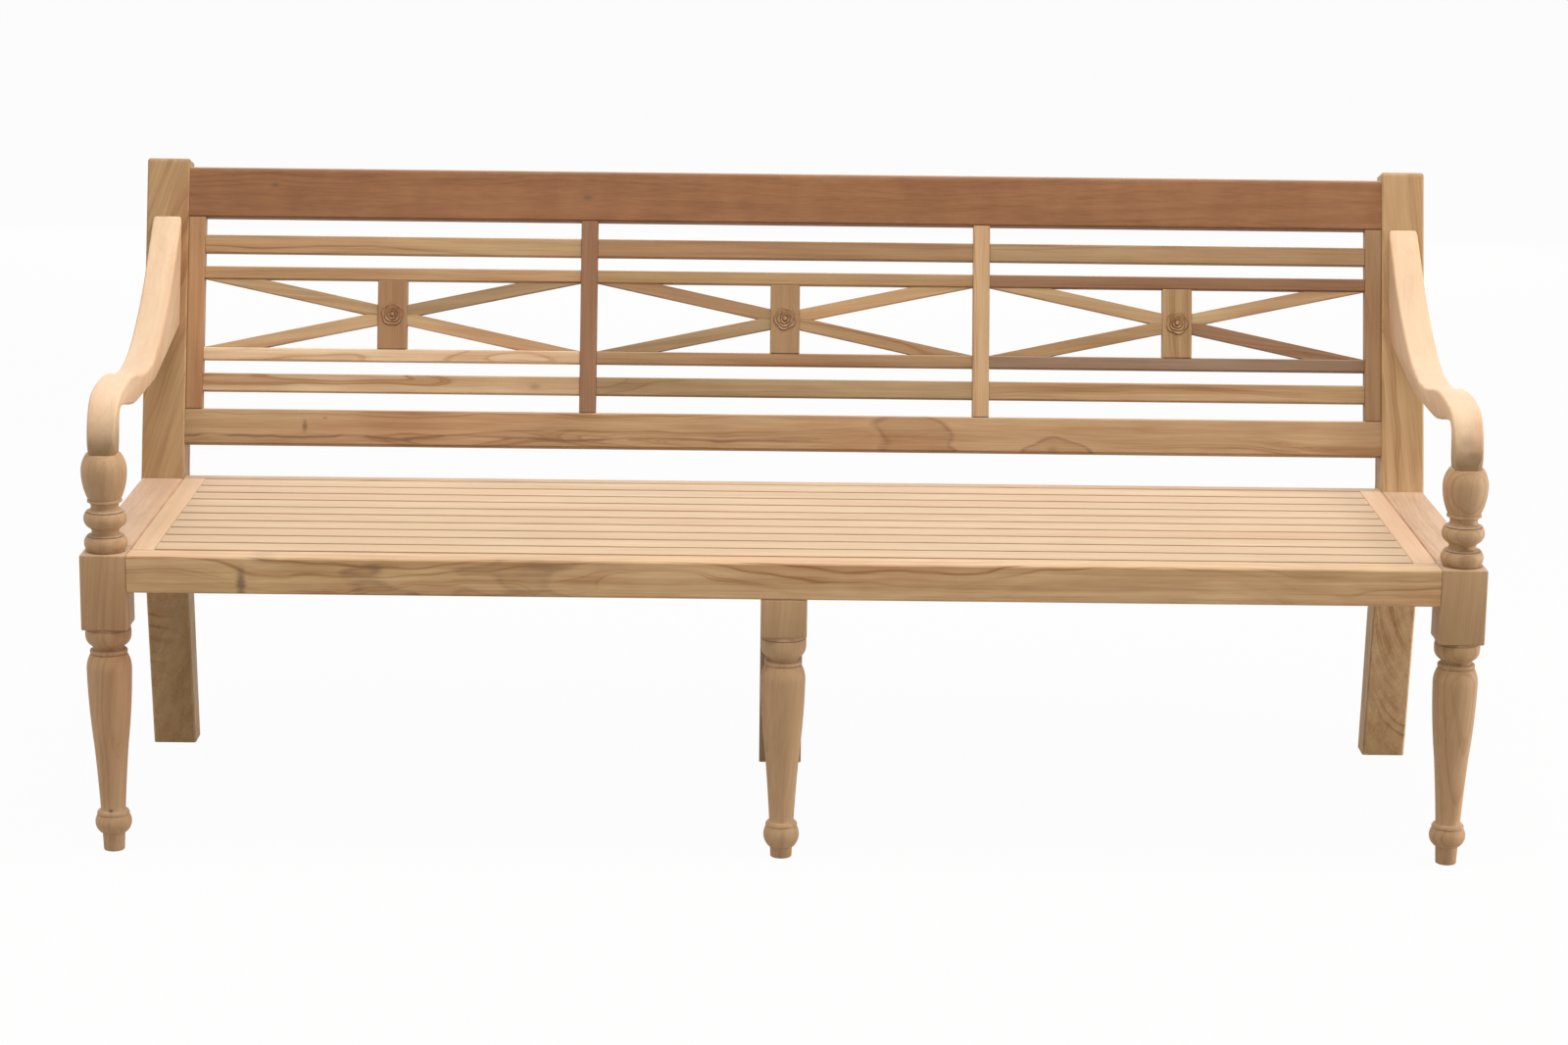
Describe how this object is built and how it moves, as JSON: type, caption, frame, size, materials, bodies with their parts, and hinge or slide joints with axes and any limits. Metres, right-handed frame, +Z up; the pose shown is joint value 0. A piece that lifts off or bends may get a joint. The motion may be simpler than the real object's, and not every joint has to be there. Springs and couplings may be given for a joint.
{
  "type": "garden bench",
  "caption": "Long teak bench with turned front legs, a slatted seat, swan-neck arms and a leaning back of slats around a diagonal lattice with small rosettes.",
  "frame": {"origin": "on the floor under the middle of the bench's overall box", "axes": "+X along the bench to the right as seen from the front, +Y from the front to the back, +Z up"},
  "size_m": [2, 0.7154, 0.9259],
  "materials": {
    "teak_turned": "oiled, fine sanded",
    "teak_legs": "oiled, fine sanded",
    "teak_arms": "oiled, fine sanded",
    "teak_seat": "oiled, fine sanded",
    "teak_rails": "oiled, fine sanded",
    "teak_lattice": "oiled, fine sanded"
  },
  "bodies": {
    "root": {"arm_left": "teak_arms", "arm_right": "teak_arms", "back_leg_left": "teak_legs", "back_leg_middle": "teak_legs", "back_leg_right": "teak_legs", "back_rail": "teak_rails", "centre_board_left": "teak_lattice", "centre_board_middle": "teak_lattice", "centre_board_right": "teak_lattice", "front_leg_left": "teak_turned", "front_leg_middle": "teak_turned", "front_leg_right": "teak_turned", "front_rail": "teak_rails", "lath_left_lower_left": "teak_lattice", "lath_left_lower_right": "teak_lattice", "lath_left_upper_left": "teak_lattice", "lath_left_upper_right": "teak_lattice", "lath_middle_lower_left": "teak_lattice", "lath_middle_lower_right": "teak_lattice", "lath_middle_upper_left": "teak_lattice", "lath_middle_upper_right": "teak_lattice", "lath_right_lower_left": "teak_lattice", "lath_right_lower_right": "teak_lattice", "lath_right_upper_left": "teak_lattice", "lath_right_upper_right": "teak_lattice", "lower_back_rail": "teak_rails", "lower_panel_rail_left": "teak_lattice", "lower_panel_rail_middle": "teak_lattice", "lower_panel_rail_right": "teak_lattice", "lower_slat_left": "teak_lattice", "lower_slat_middle": "teak_lattice", "lower_slat_right": "teak_lattice", "muntin_left": "teak_lattice", "muntin_right": "teak_lattice", "seat_bearer_left": "teak_seat", "seat_bearer_middle": "teak_seat", "seat_bearer_right": "teak_seat", "seat_end_board_left": "teak_seat", "seat_end_board_right": "teak_seat", "seat_slat_01": "teak_seat", "seat_slat_02": "teak_seat", "seat_slat_03": "teak_seat", "seat_slat_04": "teak_seat", "seat_slat_05": "teak_seat", "seat_slat_06": "teak_seat", "seat_slat_07": "teak_seat", "seat_slat_08": "teak_seat", "seat_slat_09": "teak_seat", "seat_slat_10": "teak_seat", "side_rail_left": "teak_seat", "side_rail_right": "teak_seat", "stile_left": "teak_lattice", "stile_right": "teak_lattice", "top_rail": "teak_rails", "upper_panel_rail_left": "teak_lattice", "upper_panel_rail_middle": "teak_lattice", "upper_panel_rail_right": "teak_lattice", "upper_slat_left": "teak_lattice", "upper_slat_middle": "teak_lattice", "upper_slat_right": "teak_lattice"}
  },
  "joints": []
}
